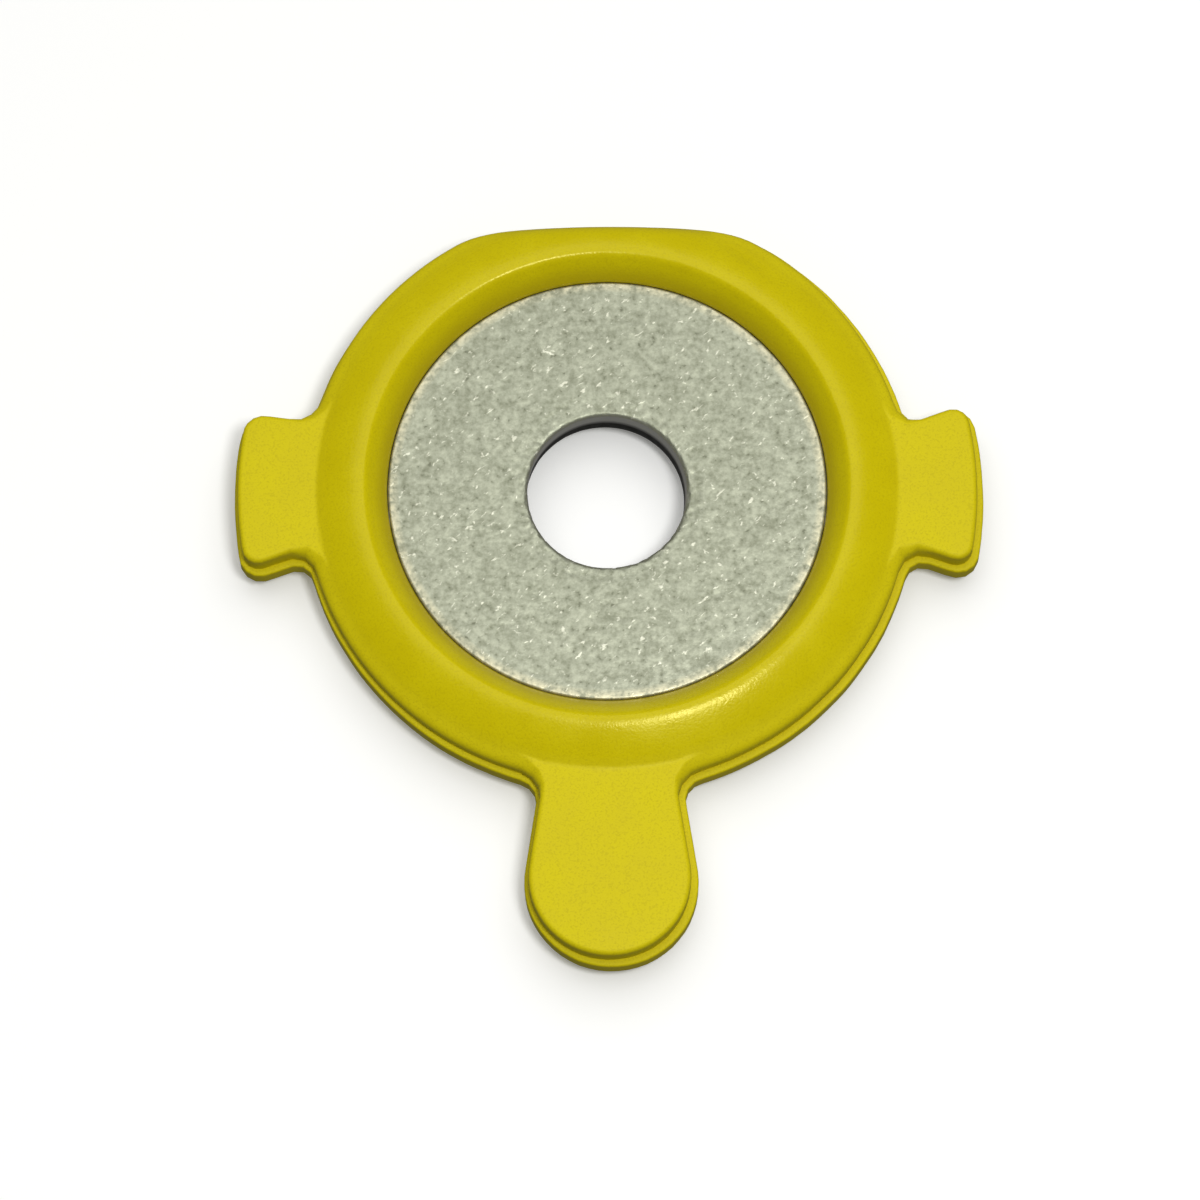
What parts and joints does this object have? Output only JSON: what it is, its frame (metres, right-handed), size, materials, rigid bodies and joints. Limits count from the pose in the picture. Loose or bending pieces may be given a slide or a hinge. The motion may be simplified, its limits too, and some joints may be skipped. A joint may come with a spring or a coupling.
{
  "type": "tabbed sealing washer",
  "caption": "Flat steel bolt washer held in the groove of a beaded, moulded rubber seal with a pull tab, side ears and a locating flat.",
  "frame": {"origin": "on the bolt hole's axis, half way through the washer's thickness", "axes": "+Z along the hole's axis towards the face shown uppermost, -Y along the long pull tab, +Y out of the locating flat, +X and -X along the two ears"},
  "size_m": [0.0388, 0.0392, 0.0044],
  "materials": {
    "seal_rubber": "satin moulded yellow",
    "washer_steel": "tumbled, zinc plated"
  },
  "bodies": {
    "seal": {"seal_body": "seal_rubber"},
    "washer": {"steel_washer": "washer_steel"}
  },
  "joints": [
    {"name": "washer_turn", "type": "hinge", "parent": "seal", "child": "washer", "pos_m": [0, 0, 0], "axis": [0, 0, 1], "continuous": true}
  ]
}
